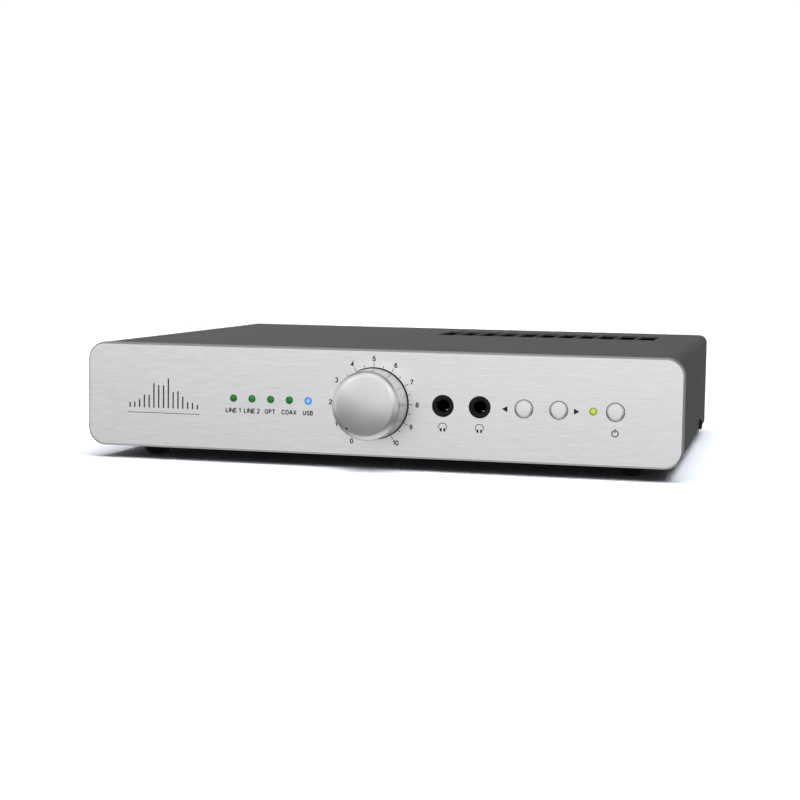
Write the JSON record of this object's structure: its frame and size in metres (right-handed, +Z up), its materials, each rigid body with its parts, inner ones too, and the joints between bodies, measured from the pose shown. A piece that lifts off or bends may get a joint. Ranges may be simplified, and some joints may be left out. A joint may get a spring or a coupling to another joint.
{
  "type": "desktop dac",
  "caption": "Compact desktop DAC and headphone amplifier: slim case, brushed front panel, volume knob, push buttons, indicators, headphone jacks and rear sockets.",
  "frame": {"origin": "centre of the bounding box's bottom, on the surface that the feet stand on", "axes": "+X right seen from the front, +Y to the rear, +Z up; the front panel faces -Y"},
  "size_m": [0.32, 0.288, 0.063],
  "materials": {
    "panel_aluminium": "brushed, clear anodised",
    "knob_aluminium": "satin, clear anodised",
    "button_aluminium": "satin, clear anodised",
    "tray_steel": "black powder coat",
    "cover_paint": "fine textured powder coat",
    "rear_paint": "fine textured powder coat",
    "black_screw": "black oxide",
    "foot_rubber": "matte",
    "zinc_steel": "zinc plated",
    "control_plastic": "matte",
    "bezel_plastic": "satin",
    "green_lens": "tinted lens, unlit",
    "blue_lens": "tinted lens, lit",
    "yellow_lens": "tinted lens, lit",
    "circuit_board": "solder mask",
    "ribbon_grey": "ribbed",
    "transformer_winding": "enamelled copper under clear tape",
    "pad_rubber": "matte",
    "capacitor_sleeve": "shrink sleeve",
    "heatsink_black": "black anodised",
    "lead_sheath": "sleeved",
    "phono_gold": "gold plated",
    "socket_plastic": "satin",
    "usb_steel": "plated shell",
    "fuse_glass": "clear"
  },
  "bodies": {
    "case": {"chassis_tray": "tray_steel", "coaxial_indicator": "green_lens", "coaxial_socket": "phono_gold", "cover_screw_left": "black_screw", "cover_screw_right": "black_screw", "filter_capacitor_left": "capacitor_sleeve", "filter_capacitor_right": "capacitor_sleeve", "foot_front_left": "foot_rubber", "foot_front_right": "foot_rubber", "foot_rear_left": "foot_rubber", "foot_rear_right": "foot_rubber", "foot_screw_front_left": "zinc_steel", "foot_screw_front_right": "zinc_steel", "foot_screw_rear_left": "zinc_steel", "foot_screw_rear_right": "zinc_steel", "front_board": "circuit_board", "front_panel": "panel_aluminium", "headphone_bezel_left": "bezel_plastic", "headphone_bezel_right": "bezel_plastic", "headphone_jack_left": "control_plastic", "headphone_jack_right": "control_plastic", "heatsink": "heatsink_black", "line_1_indicator": "green_lens", "line_1_sockets": "phono_gold", "line_2_indicator": "green_lens", "line_2_sockets": "phono_gold", "main_board": "circuit_board", "mains_inlet": "socket_plastic", "next_switch": "control_plastic", "optical_indicator": "green_lens", "optical_socket": "socket_plastic", "output_sockets": "phono_gold", "potentiometer_nut": "zinc_steel", "power_indicator": "yellow_lens", "power_switch": "control_plastic", "previous_switch": "control_plastic", "primary_lead": "lead_sheath", "rear_cover_screw_left": "black_screw", "rear_cover_screw_right": "black_screw", "rear_panel": "rear_paint", "rear_panel_screw_left": "black_screw", "rear_panel_screw_right": "black_screw", "ribbon_cable": "ribbon_grey", "secondary_lead": "lead_sheath", "top_cover": "cover_paint", "toroidal_transformer": "transformer_winding", "transformer_bolt": "zinc_steel", "transformer_clamp": "zinc_steel", "transformer_pad": "pad_rubber", "usb_indicator": "blue_lens", "usb_socket": "usb_steel", "volume_potentiometer": "control_plastic"},
    "volume": {"volume_knob": "knob_aluminium", "volume_shaft": "zinc_steel"},
    "previous": {"previous_button": "button_aluminium"},
    "next": {"next_button": "button_aluminium"},
    "power": {"power_button": "button_aluminium"},
    "fuse_tray": {"fuse_drawer": "socket_plastic", "mains_fuse": "fuse_glass"},
    "shutter": {"optical_shutter": "socket_plastic"}
  },
  "joints": [
    {"name": "volume_turn", "type": "hinge", "parent": "case", "child": "volume", "pos_m": [0, -0.124, 0.035], "axis": [0, 1, 0], "range_deg": [-7.4, 292.6]},
    {"name": "previous_press", "type": "slide", "parent": "case", "child": "previous", "axis": [0, 1, 0], "range_m": [0, 0.0008], "stiffness_N_per_m": 1200},
    {"name": "next_press", "type": "slide", "parent": "case", "child": "next", "axis": [0, 1, 0], "range_m": [0, 0.0008], "stiffness_N_per_m": 1200},
    {"name": "power_press", "type": "slide", "parent": "case", "child": "power", "axis": [0, 1, 0], "range_m": [0, 0.0008], "stiffness_N_per_m": 1200},
    {"name": "fuse_drawer_slide", "type": "slide", "parent": "case", "child": "fuse_tray", "axis": [0, 1, 0], "range_m": [0, 0.02]},
    {"name": "optical_shutter_hinge", "type": "hinge", "parent": "case", "child": "shutter", "pos_m": [0.004, 0.1338, 0.0272], "axis": [-1, 0, 0], "range_deg": [0, 75], "stiffness_Nm_per_rad": 0.0002, "springref_deg": -17.19}
  ]
}
